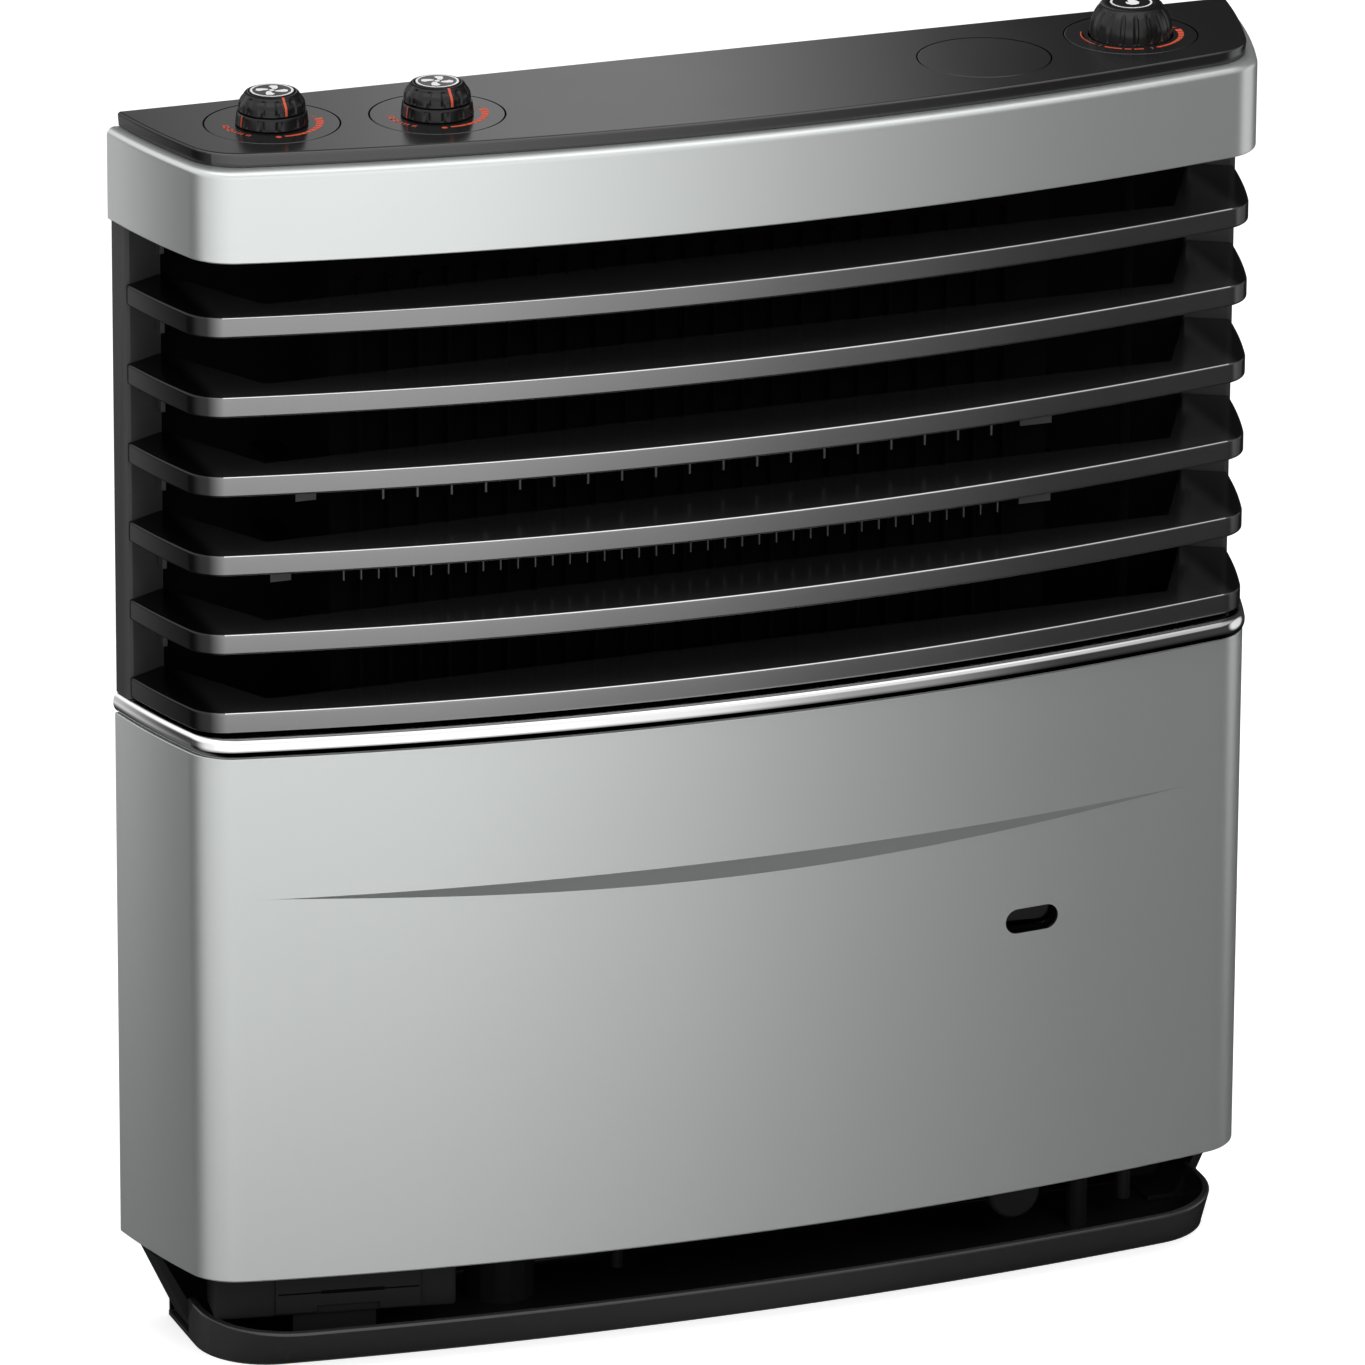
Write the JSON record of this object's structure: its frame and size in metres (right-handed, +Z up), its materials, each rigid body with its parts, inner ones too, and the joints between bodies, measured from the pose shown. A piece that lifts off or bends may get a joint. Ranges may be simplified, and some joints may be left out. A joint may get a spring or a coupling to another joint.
{
  "type": "caravan gas heater",
  "caption": "Wall-standing room heater with silver band and front panel, black louvers, bright trim, dials on top and a black foot.",
  "frame": {"origin": "middle of the heater's outline at floor level, under its foot", "axes": "+X to the heater's right-hand side as seen from the front, -Y out of the front, +Y into the wall, +Z up"},
  "size_m": [0.563, 0.1106, 0.6193],
  "materials": {
    "silver_paint": "satin metallic paint",
    "black_plastic": "fine satin",
    "gloss_black": "semi gloss",
    "chrome_plate": "polished",
    "dark_steel": "heat-proof matt black",
    "bare_steel": "plain",
    "clear_glass": "clear",
    "cap_black": "satin",
    "white_ceramic": "glazed"
  },
  "bodies": {
    "casing": {"air_inlet_duct": "dark_steel", "back_sheet": "dark_steel", "battery": "bare_steel", "blank_inset": "black_plastic", "bright_trim": "chrome_plate", "burner_bar": "bare_steel", "burner_box": "dark_steel", "burner_feed_pipe": "dark_steel", "control_plate": "black_plastic", "fin_comb_lower": "dark_steel", "fin_comb_upper": "dark_steel", "flue_collar": "bare_steel", "foot_cheek_left": "dark_steel", "foot_cheek_right": "dark_steel", "foot_tray": "black_plastic", "front_panel": "silver_paint", "gas_dial_inset": "black_plastic", "gas_inlet_pipe": "dark_steel", "gas_manifold": "dark_steel", "gas_valve": "dark_steel", "heat_exchanger": "dark_steel", "igniter_box": "black_plastic", "igniter_stand": "dark_steel", "ignition_electrode": "white_ceramic", "inspection_cap": "dark_steel", "left_dial_inset": "black_plastic", "left_dial_switch": "gloss_black", "louver_1": "black_plastic", "louver_2": "black_plastic", "louver_3": "black_plastic", "louver_4": "black_plastic", "louver_5": "black_plastic", "louver_6": "black_plastic", "rear_post_left": "black_plastic", "rear_post_right": "black_plastic", "rod_guide_lower": "dark_steel", "rod_guide_upper": "dark_steel", "room_sensor": "dark_steel", "second_dial_inset": "black_plastic", "second_dial_switch": "gloss_black", "sight_pane": "clear_glass", "sight_sleeve": "dark_steel", "top_band": "silver_paint"},
    "left_mode": {"left_dial_mode_ring": "gloss_black"},
    "left_speed": {"left_dial_speed_knob": "gloss_black", "left_dial_spindle": "bare_steel", "left_dial_cap": "cap_black"},
    "second_mode": {"second_dial_mode_ring": "gloss_black"},
    "second_speed": {"second_dial_speed_knob": "gloss_black", "second_dial_spindle": "bare_steel", "second_dial_cap": "cap_black"},
    "gas_selector": {"gas_selector_ring": "bare_steel", "gas_return_spring": "bare_steel"},
    "gas_push": {"gas_knob": "gloss_black", "gas_knob_cap": "cap_black", "control_rod": "dark_steel"},
    "lid": {"battery_lid": "black_plastic"}
  },
  "joints": [
    {"name": "left_mode_turn", "type": "hinge", "parent": "casing", "child": "left_mode", "pos_m": [-0.2145, 0.0153, 0.606], "axis": [0, 0, 1], "range_deg": [-120, 0]},
    {"name": "left_speed_turn", "type": "hinge", "parent": "casing", "child": "left_speed", "pos_m": [-0.2145, 0.0153, 0.612], "axis": [0, 0, 1], "range_deg": [-270, 0]},
    {"name": "second_mode_turn", "type": "hinge", "parent": "casing", "child": "second_mode", "pos_m": [-0.138, 0.0039, 0.606], "axis": [0, 0, 1], "range_deg": [-120, 0]},
    {"name": "second_speed_turn", "type": "hinge", "parent": "casing", "child": "second_speed", "pos_m": [-0.138, 0.0039, 0.612], "axis": [0, 0, 1], "range_deg": [-270, 0]},
    {"name": "gas_turn", "type": "hinge", "parent": "casing", "child": "gas_selector", "pos_m": [0.211, 0.0146, 0.606], "axis": [0, 0, 1], "range_deg": [-270, 0]},
    {"name": "gas_press", "type": "slide", "parent": "gas_selector", "child": "gas_push", "axis": [0, 0, -1], "range_m": [0, 0.005], "stiffness_N_per_m": 600, "springref_m": -0.002, "deforming": ["gas_return_spring"]},
    {"name": "battery_lid_slide", "type": "slide", "parent": "casing", "child": "lid", "axis": [-0.9872, 0.1593, 0], "range_m": [0, 0.03]}
  ]
}
